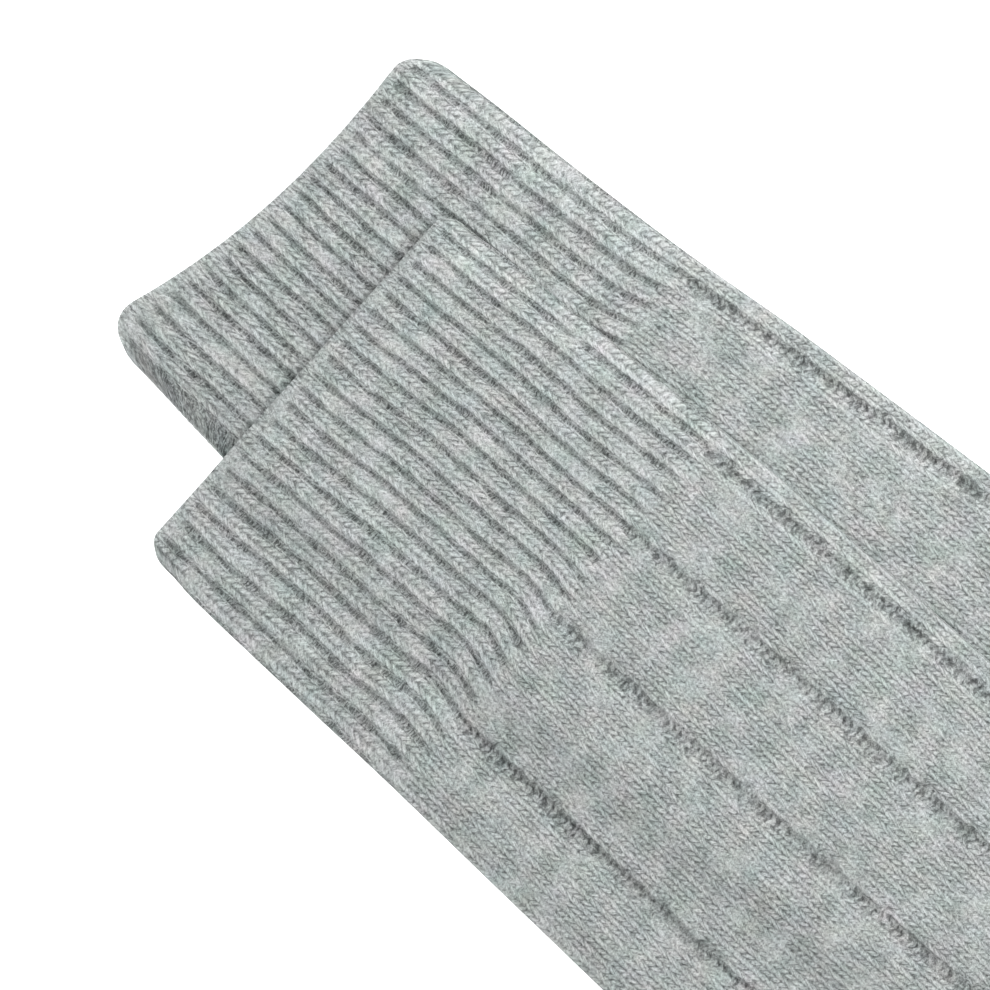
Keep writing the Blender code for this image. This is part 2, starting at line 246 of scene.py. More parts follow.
def tubePoint(share, width, height):
    # a point round a flattened tube and the way out of it there: share runs from 0 at the heel
    # fold over the top to 1 at the instep fold, and on under the tube to 2
    radius = height / 2
    quarter = math.pi * radius / 2
    halfGirth = width - height + 2 * quarter
    over = share <= 1
    reach = np.where(over, share, 2 - share) * halfGirth
    far = reach > halfGirth / 2
    reach = np.where(far, halfGirth - reach, reach)
    angle = np.minimum(reach / radius, math.pi / 2)
    across = radius * (1 - np.cos(angle)) + np.maximum(reach - quarter, 0)
    up = np.where(over, 1.0, -1.0)
    side = np.where(far, -1.0, 1.0)
    across = np.where(far, width - across, across)
    return across, radius + up * radius * np.sin(angle), -side * np.cos(angle), up * np.sin(angle)


def placeOn(sock, station, across):
    # plan place in the sock's own frame, with the cuff edge slanted and its corners round
    point, toHeel, width = sectionAt(sock, station)
    flat = point + toHeel * (width - across)[..., None]
    cuffShare = np.maximum(1 - station / sockForm["cuffLength"], 0)
    fromInstep = np.maximum(1 - across / np.maximum(width, mm), 0)
    lift = sock["slant"] * fromInstep ** sock["slantPower"] * cuffShare**2
    for corner, fromFold in ((sock["heelCorner"], across), (sock["instepCorner"], width - across)):
        short = 1 - np.clip(fromFold / corner, 0, 1)
        drop = sockForm["cornerDepth"] * corner * (1 - np.sqrt(1 - short**2))
        lift = lift - drop * (1 - smoothstep(station / (sockForm["cornerFade"] * corner)))
    return flat + np.stack([np.zeros_like(lift), lift], axis=-1)


def toSurface(sock, flat):
    # own-frame plan points, turned and moved to the sock's place on the surface
    c, s = math.cos(sock["turn"]), math.sin(sock["turn"])
    return flat @ np.array([[c, s], [-s, c]]) + np.array(sock["place"])


def outlineOf(sock):
    nearEnd, nearCount = knitCount["outlineNear"]
    restStart, restCount = knitCount["outlineRest"]
    rest = np.linspace(restStart, sockForm["sockLength"], restCount)
    station = np.concatenate([np.linspace(0, nearEnd, nearCount), rest])
    width = sectionAt(sock, station)[2]
    heelSide = placeOn(sock, station, 0 * width)
    instepSide = placeOn(sock, station, width)
    return toSurface(sock, np.concatenate([heelSide, instepSide[::-1]]))


def depthInside(outline, points):
    # how far each point lies inside an outline, and below 0 how far outside it
    starts, ends = outline, np.roll(outline, -1, axis=0)
    nearest = np.full(len(points), 1e9)
    crossings = np.zeros(len(points), int)
    for start, end in zip(starts, ends):
        edge = end - start
        share = np.clip(((points - start) @ edge) / max(edge @ edge, 1e-18), 0, 1)
        gap = points - start - share[:, None] * edge
        nearest = np.minimum(nearest, np.hypot(gap[:, 0], gap[:, 1]))
        if start[1] != end[1]:
            spans = (start[1] > points[:, 1]) != (end[1] > points[:, 1])
            crossX = start[0] + (points[:, 1] - start[1]) * edge[0] / edge[1]
            crossings += spans & (crossX > points[:, 0])
    return np.where(crossings % 2 == 1, nearest, -nearest)


def liftOver(outline, points):
    # how high the sock beneath carries each point, up a smooth ramp at its outline
    form = sockForm
    full = 2 * form["wall"] + form["layerGap"] + form["ribRise"] + form["clearance"]
    reach = depthInside(outline, points) + form["rampTop"]
    return full * smoothstep((reach + form["rampLength"]) / form["rampLength"])


def outerWales():
    # over the top in fine steps, back under the tube in coarser ones
    count = knitCount
    wales = count["wales"]
    top = np.arange(wales * count["pointsPerWale"] + 1) / count["pointsPerWale"]
    fold = np.arange(1, count["foldSteps"] + 1) * count["foldStep"]
    between = np.arange(fold[-1] + count["underStep"], wales - fold[-1], count["underStep"])
    return np.concatenate([top, wales + np.concatenate([fold, between, wales - fold[::-1]])])


def shareOf(sock, wale, station):
    # how far round the tube a column lies: the columns aren't spaced quite evenly
    station = np.minimum(station, sockForm["legLength"])
    lean, skew = (smoothCurve(sock["lean"], column, station) for column in (1, 2))
    share = wale / knitCount["wales"]
    aside = lean * np.sin(math.pi * share) + skew * np.sin(2 * math.pi * share)
    return share + np.where(share < 1, aside, 0.0)


def stationsOf(start, end, perCourse):
    if end is None:  # the toe's last rings follow its round outline
        form = sockForm
        toeStart = form["sockLength"] - form["toeLength"]
        straight = stationsOf(start, toeStart, perCourse)
        steps = int(form["toeLength"] / knitCount["course"] * perCourse * knitCount["toeSteps"])
        angles = np.linspace(0, form["lastToeAngle"], steps + 1)[1:]
        return np.concatenate([straight, toeStart + form["toeLength"] * np.sin(angles)])
    steps = max(int(round((end - start) / knitCount["course"] * perCourse)), 1)
    return np.linspace(start, end, steps + 1)


def ringGrid(sock, stations, wales, inner, carrier):
    # points, outward directions and knit places of a grid of rings
    form = sockForm
    station, wale = np.meshgrid(stations, wales, indexing="ij")
    share = shareOf(sock, wale, station)
    width = sectionAt(sock, station)[2]
    gap = mouthGap(station) * thinning(station)
    if inner:
        hollow = np.maximum(width - 2 * form["wall"], gap * form["leastHollow"])
        across, z, _, _ = tubePoint(share, hollow, gap)
        across = across + form["wall"]
        z = z + form["wall"] * thinning(station)
        outAcross, outZ = np.zeros_like(z), np.zeros_like(z)
    else:
        height = (2 * form["wall"] + mouthGap(station)) * thinning(station)
        height = np.minimum(height, width * form["mostHeight"])
        across, z, outAcross, outZ = tubePoint(share, width, height)
    fromEdge = np.minimum(np.minimum(across, width - across), station + form["hemReach"])
    z = z * (1 - form["edgePress"] * (1 - smoothstep(fromEdge / form["edgeReach"])))
    flat = toSurface(sock, placeOn(sock, station, across).reshape(-1, 2))
    if carrier is not None:
        z = z + liftOver(carrier, flat).reshape(z.shape)
    points = np.column_stack([flat, z.reshape(-1)])
    toHeel = sectionAt(sock, station)[1].reshape(-1, 2)
    c, s = math.cos(sock["turn"]), math.sin(sock["turn"])
    toHeel = toHeel @ np.array([[c, s], [-s, c]])
    outward = np.column_stack([-toHeel * outAcross.reshape(-1, 1), outZ.reshape(-1)])
    fromFold = np.minimum(wale, knitCount["wales"] - wale)
    onTop = np.zeros_like(wale) if inner else smoothstep(fromFold / knitCount["topFade"])
    course = station / knitCount["course"]
    knit = np.column_stack([wale.reshape(-1), course.reshape(-1), onTop.reshape(-1)])
    return points, outward, knit


def gridFaces(rings, count, offset, flip):
    i, j = np.meshgrid(np.arange(rings - 1), np.arange(count), indexing="ij")
    k = (j + 1) % count
    quads = np.stack([i * count + j, i * count + k, (i + 1) * count + k, (i + 1) * count + j], axis=-1)
    quads = quads.reshape(-1, 4) + offset
    return quads[:, ::-1] if flip else quads


def zipRows(first, firstPlaces, second, secondPlaces):
    # triangles between two rows of unlike numbers of points, each joined to what lies nearest
    triangles = []
    i = j = 0
    while i < len(first) - 1 or j < len(second) - 1:
        atEnd = j == len(second) - 1
        if atEnd or (i < len(first) - 1 and firstPlaces[i + 1] <= secondPlaces[j + 1]):
            corners = (first[i], first[i + 1], second[j])
            i += 1
        else:
            corners = (first[i], second[j + 1], second[j])
            j += 1
        if len(set(corners)) == 3:
            triangles.append(corners)
    return triangles


def rimFaces(outerStart, outerShares, innerStart, innerShares, flip):
    outer = [outerStart + i for i in range(len(outerShares))] + [outerStart]
    inner = [innerStart + i for i in range(len(innerShares))] + [innerStart]
    faces = zipRows(outer, list(outerShares) + [2.0], inner, list(innerShares) + [2.0])
    return [face[::-1] for face in faces] if flip else faces


def seamFaces(start, shares, flip):
    # closes a flat ring by joining its upper points to its lower ones
    turn = int(np.argmin(np.abs(shares - 1)))
    ring = [start + i for i in range(len(shares))]
    lower = [ring[0]] + ring[: turn - 1 : -1]
    lowerPlaces = [0.0] + [2.0 - share for share in shares[: turn - 1 : -1]]
    faces = zipRows(ring[: turn + 1], list(shares[: turn + 1]), lower, lowerPlaces)
    return [face[::-1] for face in faces] if flip else faces


def sharpenRims(mesh, rings):
    # keeps the shading of one stretch running on into the next
    ends = np.zeros(2 * len(mesh.edges), np.int32)
    mesh.edges.foreach_get("vertices", ends)
    ends = ends.reshape(-1, 2)
    sharp = np.zeros(len(ends), bool)
    for first, last in rings:
        sharp |= ((ends >= first) & (ends < last)).all(axis=1)
    mesh.attributes.new("sharp_edge", "BOOLEAN", "EDGE").data.foreach_set("value", sharp)


def makeTube(sock, stretch, start, end, perCourse, carrier):
    # one stretch of the sock: its outer surface, its hollow and the rims between them
    stations = stationsOf(start, end, perCourse)
    isToe = end is None
    innerEnd = sockForm["sockLength"] - sockForm["toePocketEnd"]
    innerStations = stations[:: perCourse * knitCount["innerCourses"]]
    if isToe:
        pocketStations = innerStations[innerStations < innerEnd - sockForm["toePocketGap"]]
        innerStations = np.append(pocketStations, innerEnd)
    elif innerStations[-1] != stations[-1]:
        innerStations = np.append(innerStations, stations[-1])
    outerShares = outerWales() / knitCount["wales"]
    innerShares = np.arange(2 * knitCount["innerSteps"]) / knitCount["innerSteps"]
    outer = ringGrid(sock, stations, outerWales(), False, carrier)
    inner = ringGrid(sock, innerStations, innerShares * knitCount["wales"], True, carrier)
    points, outward, knit = (np.concatenate(pair) for pair in zip(outer, inner))
    points[:, :2] += surfaceShift
    innerAt = len(outer[0])
    lastOuter = innerAt - len(outerShares)
    lastInner = len(points) - len(innerShares)
    faces = gridFaces(len(stations), len(outerShares), 0, False).tolist()
    faces += gridFaces(len(innerStations), len(innerShares), innerAt, True).tolist()
    faces += rimFaces(0, outerShares, innerAt, innerShares, True)
    if isToe:
        faces += seamFaces(lastOuter, outerShares, False)
        faces += seamFaces(lastInner, innerShares, True)
    else:
        faces += rimFaces(lastOuter, outerShares, lastInner, innerShares, False)
    name = f"{sock['name']}_{stretch}"
    mesh = bpy.data.meshes.new(name)
    mesh.from_pydata(points.tolist(), [], faces)
    sharpenRims(mesh, [(0, len(outerShares)), (lastOuter, innerAt)])
    for label, values in (("outward", outward), ("knitPlace", knit)):
        layer = mesh.attributes.new(label, "FLOAT_VECTOR", "POINT")
        layer.data.foreach_set("vector", values.astype(np.float32).reshape(-1))
    piece = bpy.data.objects.new(name, mesh)
    bpy.context.scene.collection.objects.link(piece)
    return piece


class Sum:
    # a socket that arithmetic can be done on: each step adds one Math node to its tree
    def __init__(self, tree, socket):
        self.tree = tree
        self.socket = socket

    def step(self, operation, *others):
        node = self.tree.nodes.new("ShaderNodeMath")
        node.operation = operation
        for slot, value in zip(node.inputs, (self, *others)):
            if isinstance(value, Sum):
                self.tree.links.new(value.socket, slot)
            else:
                slot.default_value = value
        return Sum(self.tree, node.outputs[0])

    def __add__(self, other):
        return self.step("ADD", other)

    def __radd__(self, other):
        return self.step("ADD", other)

    def __sub__(self, other):
        return self.step("SUBTRACT", other)

    def __rsub__(self, other):
        return (self * -1.0) + other

    def __mul__(self, other):
        return self.step("MULTIPLY", other)

    def __truediv__(self, other):
        return self.step("DIVIDE", other)


def sine(value):
    return value.step("SINE")


def cosine(value):
    return value.step("COSINE")


def fraction(value):
    return value.step("FRACT")


def whole(value):
    return value.step("FLOOR")


def size(value):
    return value.step("ABSOLUTE")


def atLeast(value, low):
    return value.step("MAXIMUM", low)


def atMost(value, high):
    return value.step("MINIMUM", high)


def bell(value, width):
    # 1 where the value is 0, and falling away over the width
    return (value / width * (value / width) * -1.0).step("EXPONENT")


def ramp(value, low, high):
    # a smooth rise from 0 at low to 1 at high
    node = value.tree.nodes.new("ShaderNodeMapRange")
    node.interpolation_type = "SMOOTHSTEP"
    value.tree.links.new(value.socket, node.inputs["Value"])
    node.inputs["From Min"].default_value = low
    node.inputs["From Max"].default_value = high
    return Sum(value.tree, node.outputs["Result"])


def mixed(share, low, high):
    return share * (high - low) + low


def together(tree, x, y, z):
    node = tree.nodes.new("ShaderNodeCombineXYZ")
    for slot, value in zip(node.inputs, (x, y, z)):
        if isinstance(value, Sum):
            tree.links.new(value.socket, slot)
        else:
            slot.default_value = value
    return node.outputs[0]


noiseMean, noiseSpread = 0.5, 7.0


def noise(tree, x, y, z, scale=1.0, detail=2.0, roughness=0.5):
    # cloudy noise about 0, mostly from -1 to 1
    node = tree.nodes.new("ShaderNodeTexNoise")
    node.inputs["Scale"].default_value = scale
    node.inputs["Detail"].default_value = detail
    node.inputs["Roughness"].default_value = roughness
    tree.links.new(together(tree, x, y, z), node.inputs["Vector"])
    return (Sum(tree, node.outputs[0]) - noiseMean) * noiseSpread


# The knit: the same sums serve the Geometry Nodes and the wool's shader
knitShape = {
    "waleWidth": 2.25,  # mm
    "wideRib": 10.0,  # wales
    "seamAside": 0.12,  # a narrow crease, sunk in the relief and darkened with painted shade, lies this far beside the middle of a leg groove
    "seamWidth": 0.2,
    "faintGrooves": 25.5,  # the leg's grooves are fainter about this wale
    "faintReach": 9.0,
    "crowding": 0.13,  # how far the cuff's purl columns are squeezed by the knit ones, in wales
    # courses that a stitch's left leg and its right leg fall over half a wale
    "cuffSlopes": (1.20, 0.95),
    "legSlopes": (1.55, 0.85),
    "cuffPurlSlope": 0.10,  # and a purl strand rises, in the cuff and in the leg
    "legPurlSlope": 0.45,
    "cuffTicks": 2.3,  # strands that show in each course of the cuff's purl columns
    "tickWander": 0.30,
    "cuffWander": 0.13,  # wales
    "legWander": 0.05,
    "grooveWander": 0.28,
    "rowWander": 0.16,  # courses
    "strandWander": 0.11,
    "rimEnd": 0.35,  # courses, as are the next ones
    "hemStart": 0.9,
    "hemEnd": 1.7,
    "cuffEnd": 40.0,
    "cuffFade": 0.8,
    "legEnd": 108.6,
    "soleFade": 14.0,
    "toeStart": 180.0,
    "toeFade": 8.0,
    "soleEdges": (21.0, 20.0),  # wales from the heel fold at which the ribs end and the sole begins
    # a rib's wave runs from 1 to -1; purl starts at the first value and is whole at the second
    "cuffPurl": (-0.15, -0.85),
    "legPurl": (0.82, 0.36),  # wales from a groove's middle at which purl starts and is whole
    "foldPurl": (0.25, -0.25),  # and from the end of the purl beside the cuff's heel fold
    "foldKnit": (1.0, 0.7),
    "purlStitches": (0.35, 0.75),  # how deep a groove is where stitches turn purl
    "felt": (-0.5, 1.5),  # noise at which felting starts and is whole
}

# The knit's noises: waves for each wale and for each course, what sets them apart, detail
knitNoise = {
    "drift": (0.16, 0.09, 0.0, 2.0),
    "waves": (0.11, 0.06, 40.0, 2.0),
    "rows": (0.35, 0.12, 60.0, 2.0),
    "grooves": (0.30, 0.45, 70.0, 1.0),
    "strands": (0.80, 0.70, 80.0, 2.0),
    "ticks": (1.10, 1.60, 90.0, 1.0),
    "knots": (1.50, 1.30, 95.0, 2.0),
    "felting": (0.30, 0.22, 100.0, 2.0),
}


def wandering(name, wale, course, seed):
    perWale, perCourse, apart, detail = knitNoise[name]
    return noise(wale.tree, wale * perWale, course * perCourse, seed + apart, detail=detail)


def seamBeside(fromGroove):
    # the narrow crease beside the middle of a leg groove, sunk in the relief and darkened with painted shade
    return bell(fromGroove - knitShape["seamAside"], knitShape["seamWidth"])


def sockInputs(sock):
    # what the knit's sums take from each sock
    given = {"Seed": sock["seed"], "First knit": sock["firstKnit"], "Fold purl": sock["foldPurl"]}
    for number, wale in enumerate(sock["legGrooves"], 1):
        given[f"Leg groove {number}"] = wale
    return given


def knitSums(tree, wale, course, given):
    # where a point lies in the knit: which columns, how deep in a groove, where in its stitch
    shape = knitShape
    seed, firstKnit, foldPurl, *legGrooves = (Sum(tree, given[name]) for name in sockInputs(upperSock))
    wales = knitCount["wales"]
    wale = wales - size(wale - wales)  # the underside mirrors the top
    inLeg = ramp(course, shape["cuffEnd"] - shape["cuffFade"], shape["cuffEnd"] + shape["cuffFade"])
    inCuff = 1.0 - inLeg
    drift = mixed(inCuff, shape["legWander"], shape["cuffWander"])
    column = wale + wandering("drift", wale, course, seed) * drift
    row = course + wandering("rows", wale, course, seed) * shape["rowWander"]
    ribWave = (column - firstKnit) * math.pi
    column = column - sine(ribWave) * inCuff * shape["crowding"]
    cuffWave = cosine((column - firstKnit) * math.pi)  # 1 along a knit column, -1 along a purl one
    width = wandering("grooves", wale, course, seed) * shape["grooveWander"]
    cuffGroove = ramp(cuffWave + width, *shape["cuffPurl"])
    cuffGroove = atLeast(cuffGroove, ramp(wale - foldPurl, *shape["foldPurl"]))
    foldKnit = ramp(wale, *shape["foldKnit"]) * ramp(foldPurl, 0.0, 1.0)  # only where the fold has purl
    cuffGroove = cuffGroove * (1.0 - foldKnit)
    onFoot = ramp(course, shape["legEnd"], shape["legEnd"] + shape["soleFade"])
    sole = ramp(wale, *shape["soleEdges"]) * onFoot
    inToe = ramp(course, shape["toeStart"], shape["toeStart"] + shape["toeFade"])
    fromGroove, seam = size(column - legGrooves[0]), seamBeside(column - legGrooves[0])
    for legGroove in legGrooves[1:]:
        fromGroove = atMost(fromGroove, size(column - legGroove))
        seam = seam + seamBeside(column - legGroove)
    keepRibs = (1.0 - sole) * (1.0 - inToe)
    legGroove = ramp(fromGroove + width, *shape["legPurl"]) * keepRibs
    groove = (cuffGroove * inCuff + legGroove * inLeg) * ramp(course, shape["hemStart"], shape["hemEnd"])
    crown = atMost(fromGroove / (shape["wideRib"] / 2), 1.0)  # 0 at a groove, 1 midway between two
    inColumn = fraction(column) - 0.5
    fromMiddle = size(inColumn) * 2.0
    rightSide = inColumn.step("GREATER_THAN", 0.0)
    slopes = zip(shape["cuffSlopes"], shape["legSlopes"])
    leftSlope, rightSlope = (mixed(inLeg, cuffSlope, legSlope) for cuffSlope, legSlope in slopes)
    slope = mixed(rightSide, leftSlope, rightSlope)
    purl = ramp(groove, *shape["purlStitches"])
    slope = slope * (1.0 - purl) - purl * mixed(inLeg, shape["cuffPurlSlope"], shape["legPurlSlope"])
    strandWander = wandering("strands", wale, course, seed) * shape["strandWander"]
    phase = row - slope * fromMiddle + strandWander * (purl + 1.0)
    tickWander = wandering("ticks", wale, course, seed) * shape["tickWander"]
    return {
        "column": column,
        "inLeg": inLeg,
        "groove": groove,
        "seam": seam * keepRibs * inLeg,
        "crown": crown,
        "keepRibs": keepRibs,
        "rightSide": rightSide,
        "fromMiddle": fromMiddle,
        "phase": phase,
        "tickPhase": phase * shape["cuffTicks"] + tickWander,
        "knots": wandering("knots", wale, course, seed),
        "felt": ramp(wandering("felting", wale, course, seed), *shape["felt"]),
        "purl": purl,
    }


# A stitch's own form, all as shares of its height or of its column's half width
stitchForm = {
    "legPlace": 0.52,
    "legWidth": 0.42,
    "gapDepths": (0.56, 0.72),  # between left legs, which run into one another, and right ones
    "tickHeight": 1.3,
    "legPurlHeight": 0.9,
    "knotHeight": 0.6,
    "purlHeights": (-0.5, 1.6),
    "purlRoundness": 0.4,
    "feltCover": 0.75,  # how much of a stitch felting hides where it is whole
    "feltHeight": 0.62,
    "meanHeight": 0.55,
}


def stitchHeight(place):
    # the yarn's own roundness: 0 in the gaps between strands, 1 along their middles
    form = stitchForm
    hollow = 0.5 + cosine(place["phase"] * (2 * math.pi)) * 0.5
    strand = 1.0 - hollow * hollow
    tick = 0.5 - cosine(place["tickPhase"] * (2 * math.pi)) * 0.5
    gapDepth = mixed(place["rightSide"], *form["gapDepths"])
    knit = bell(place["fromMiddle"] - form["legPlace"], form["legWidth"]) * ((strand - 1.0) * gapDepth + 1.0)
    purl = mixed(place["inLeg"], tick * form["tickHeight"], strand * form["legPurlHeight"])
    purl = ramp(purl + place["knots"] * form["knotHeight"], *form["purlHeights"])
    purl = purl * (1.0 - place["fromMiddle"] * place["fromMiddle"] * form["purlRoundness"])
    height = mixed(place["purl"], knit, purl)
    return mixed(place["felt"] * form["feltCover"], height, form["feltHeight"])


reliefSizes = {
    "Rib rise": 0.8 * mm,
    "Dome": 0.45 * mm,
    "Seam depth": 0.25 * mm,
    "Stitch depth": 0.42 * mm,
    "Purl depth": 0.22 * mm,
    "Stitch unevenness": 0.14,
    "Cloth waves": 0.06 * mm,
}
stitchSteps = (3.7, 2.3)  # how far apart neighbouring stitches lie in the noise of their unevenness


def newSocket(tree, name, direction, kind, value=None):
    socket = tree.interface.new_socket(name=name, in_out=direction, socket_type=kind)
    if value is not None:
        socket.default_value = value
    return socket


def readAttribute(tree, name):
    node = tree.nodes.new("GeometryNodeInputNamedAttribute")
    node.data_type = "FLOAT_VECTOR"
    node.inputs["Name"].default_value = name
    return node.outputs["Attribute"]


def buildKnitTree():
    # Geometry Nodes that raise a smooth tube's ribs and stitches along its outward directions
    tree = bpy.data.node_groups.new("knitRelief", "GeometryNodeTree")
    tree.is_modifier = True
    newSocket(tree, "Geometry", "INPUT", "NodeSocketGeometry")
    newSocket(tree, "Wool", "INPUT", "NodeSocketMaterial")
    for name in sockInputs(upperSock):
        newSocket(tree, name, "INPUT", "NodeSocketFloat", 0.0)
    for name, value in reliefSizes.items():
        newSocket(tree, name, "INPUT", "NodeSocketFloat", value)
    newSocket(tree, "Geometry", "OUTPUT", "NodeSocketGeometry")
    entry = tree.nodes.new("NodeGroupInput")
    given = {socket.name: socket for socket in entry.outputs}
    sizes = {name: Sum(tree, given[name]) for name in (*reliefSizes, "Seed")}
    split = tree.nodes.new("ShaderNodeSeparateXYZ")
    tree.links.new(readAttribute(tree, "knitPlace"), split.inputs[0])
    wale, course, onTop = (Sum(tree, socket) for socket in split.outputs)
    place = knitSums(tree, wale, course, given)

    rim = ramp(course, 0.0, knitShape["rimEnd"])
    belowHem = ramp(course, knitShape["hemStart"], knitShape["hemEnd"])
    ribs = (1.0 - place["groove"]) * sizes["Rib rise"]
    flatness = (1.0 - place["crown"]) * (1.0 - place["crown"]) * place["inLeg"] * place["keepRibs"]
    ribs = ribs - flatness * sizes["Dome"] * (1.0 - place["groove"]) - place["seam"] * sizes["Seam depth"]
    perColumn, perStitch = stitchSteps
    stitchAt = whole(place["column"]) * perColumn, whole(place["phase"]) * perStitch
    uneven = noise(tree, *stitchAt, sizes["Seed"], detail=0.0)
    depth = mixed(place["purl"], sizes["Stitch depth"], sizes["Purl depth"])
    fromMean = stitchHeight(place) - stitchForm["meanHeight"]
    stitches = fromMean * depth * (uneven * sizes["Stitch unevenness"] + 1.0)
    waves = wandering("waves", wale, course, sizes["Seed"]) * sizes["Cloth waves"]
    relief = (ribs + stitches * belowHem + waves) * onTop * rim

    scaled = tree.nodes.new("ShaderNodeVectorMath")
    scaled.operation = "SCALE"
    tree.links.new(readAttribute(tree, "outward"), scaled.inputs[0])
    tree.links.new(relief.socket, scaled.inputs["Scale"])
    move = tree.nodes.new("GeometryNodeSetPosition")
    tree.links.new(given["Geometry"], move.inputs["Geometry"])
    tree.links.new(scaled.outputs[0], move.inputs["Offset"])
    realize = tree.nodes.new("GeometryNodeRealizeInstances")
    tree.links.new(move.outputs["Geometry"], realize.inputs["Geometry"])
    finish = tree.nodes.new("GeometryNodeSetMaterial")
    tree.links.new(realize.outputs["Geometry"], finish.inputs["Geometry"])
    tree.links.new(given["Wool"], finish.inputs["Material"])
    leave = tree.nodes.new("NodeGroupOutput")
    tree.links.new(finish.outputs["Geometry"], leave.inputs["Geometry"])
    return tree


def applyKnit(piece, tree, material, sock):
    # runs the Geometry Nodes once and keeps their result as a plain mesh
    modifier = piece.modifiers.new("knit", "NODES")
    modifier.node_group = tree
    named = {item.name: item.identifier for item in tree.interface.items_tree if item.in_out == "INPUT"}
    modifier[named["Wool"]] = material
    for name, value in sockInputs(sock).items():
        modifier[named[name]] = value
    for name, value in reliefSizes.items():
        modifier[named[name]] = value
    graph = bpy.context.evaluated_depsgraph_get()
    smooth = piece.data
    mesh = bpy.data.meshes.new_from_object(piece.evaluated_get(graph), depsgraph=graph)
    piece.modifiers.remove(modifier)
    piece.data = mesh
    mesh.name = piece.name
    bpy.data.meshes.remove(smooth)
    mesh.shade_smooth()


# Marled wool: how strongly each of its marks shows, and how much painted shade darkens its gaps, grooves,
# creases, right legs and column edges
woolLook = {
    "Base": (0.533, 0.570, 0.560, 1.0),
    "Gap shade": 0.62,  # painted shade: how much darker the gaps between strands are
    # painted shade in the purl grooves
    "Groove shade": 0.44,
    # painted shade in the narrow crease beside each leg groove's middle
    "Seam shade": 0.48,
    "Faintness": 0.42,  # how much less the leg's middle grooves show
    # painted shade on the stitches' right legs, which the key light catches less
    "Right leg shade": 0.10,
    # painted shade where neighbouring knit columns meet
    "Column shade": 0.10,
    # felted patches are darkened a little to make up for the painted gap shade that felting hides
    "Felt shade": 0.07,
    "Cuff lift": 0.05,
    "Fibre": 0.24,
    "Threads": 0.52,
    "Speckle": 0.46,
    "Marl": 0.20,
    "Cloud": 0.11,
    "Cool": 0.044,
    "Warm": 0.020,
}


# The wool's noises: waves along the two ways, what sets them apart, scale, detail, roughness
woolNoise = {
    "fibre": (1.0, 1.0, 9.0, 1.1, 3.0, 0.75),
    "speckle": (1.0, 1.0, 17.0, 1.7, 2.5, 0.75),
    "streak": (0.28, 7.3, 5.0, 1.0, 3.0, 0.7),
    "cloud": (0.20, 0.15, 13.0, 1.0, 3.0, 0.6),
    "cool": (0.16, 0.13, 21.0, 1.0, 2.0, 0.5),
    "warm": (0.19, 0.16, 31.0, 1.0, 2.0, 0.5),
    "laid threads": (0.8, 0.9, 41.0, 1.0, 1.0, 0.5),
    "loose threads": (1.0, 1.0, 47.0, 1.15, 1.0, 0.5),
}
woolMix = {
    "columnStep": 5.3,  # how far apart neighbouring columns and a stitch's two legs lie in the fibre
    "legStep": 2.6,
    "fibreAlong": 0.9,
    "fibreAcross": 2.6,
    "laidThinness": 1.9,
    "looseThinness": 2.2,
    "threadMean": 0.55,
    "gapHeights": (0.72, 0.12),  # a gap's painted shade starts at the first height and is whole at the second
    # painted shade between columns starts at the first distance from a column's middle and is whole at the
    # second
    "columnEdges": (0.6, 1.0),
    "rightLegShares": (0.2, 1.0),  # how much of their painted shade right legs have in the cuff and the leg
    "seamShares": (1.2, 0.6),  # and the creases beside leg grooves in a gap and on a strand
    "shoulder": 1.1,
    "brightest": 1.5,
    "coolShares": (0.8, 0.5, 0.35),  # the cool tint's own noise, the dark clouds, the dark streaks
    "blueShare": 0.3,
    "bumpShares": (0.22, 0.15),  # the fibre's and the speckle's part in the bump
}


def woolMark(name, x, y, seed):
    perX, perY, apart, scale, detail, roughness = woolNoise[name]
    return noise(x.tree, x * perX, y * perY, seed + apart, scale, detail, roughness)


def threads(name, x, y, seed, thinness):
    # thin wandering lines: 1 along a line, 0 between them
    return atLeast(1.0 - size(woolMark(name, x, y, seed)) * thinness, 0.0)


